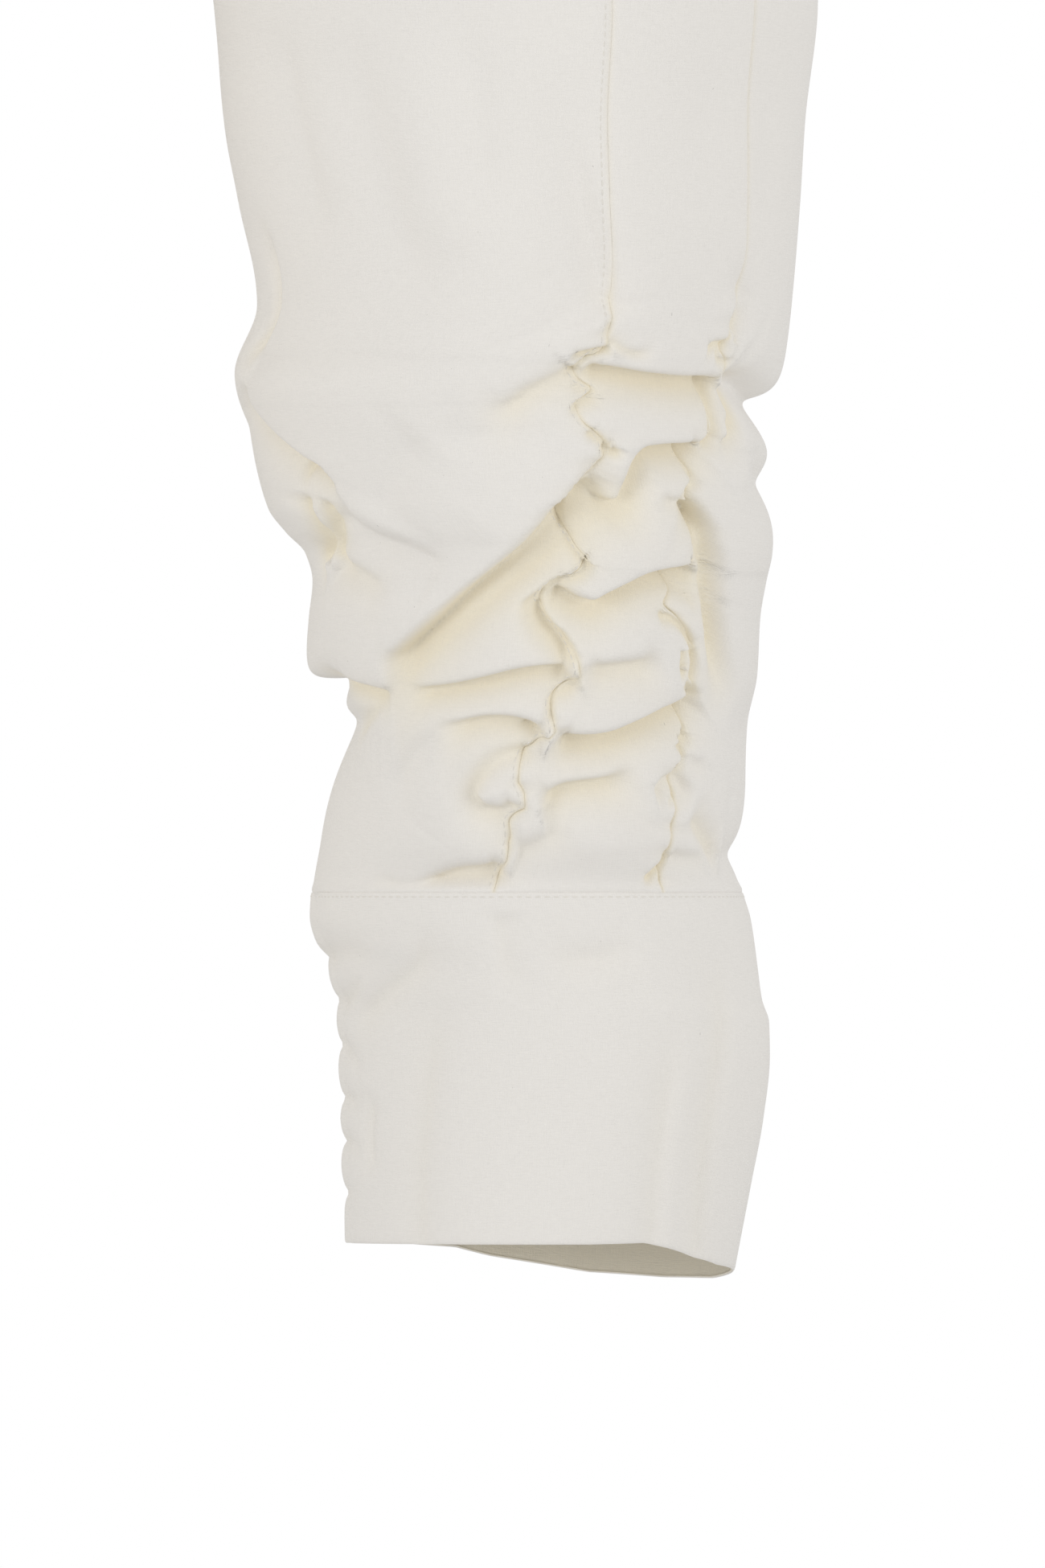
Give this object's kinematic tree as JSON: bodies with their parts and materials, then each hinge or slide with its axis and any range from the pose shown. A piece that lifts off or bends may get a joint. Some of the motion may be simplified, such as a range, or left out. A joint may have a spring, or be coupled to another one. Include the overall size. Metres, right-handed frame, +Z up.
{
  "type": "cargo capri pants",
  "caption": "Cream capri trousers, worn form and hollow, with ruched side panels below the knee, plain wide cuffs, thigh cargo pockets, a fly and a buttoned waistband.",
  "frame": {"origin": "centre of the waist opening, halfway up the waistband, where the wearer's waist holds the trousers", "axes": "+Z up along the body and the legs, front of the trousers towards -Y, wearer's left leg towards +X"},
  "size_m": [0.426, 0.2528, 0.8328],
  "materials": {
    "cream_cotton": "fine plain weave cotton with a soft matt sheen",
    "cream_button": "satin cream polyester button"
  },
  "bodies": {
    "root": {"front_left": "cream_cotton", "front_right": "cream_cotton", "side_left": "cream_cotton", "side_right": "cream_cotton", "back_left": "cream_cotton", "back_right": "cream_cotton", "cuff_left": "cream_cotton", "cuff_right": "cream_cotton", "pocket_left": "cream_cotton", "pocket_right": "cream_cotton", "pocket_flap_left": "cream_cotton", "pocket_flap_right": "cream_cotton", "fly": "cream_cotton", "waistband": "cream_cotton", "waist_button": "cream_button", "flap_button_left": "cream_button", "flap_button_right": "cream_button"}
  },
  "joints": []
}
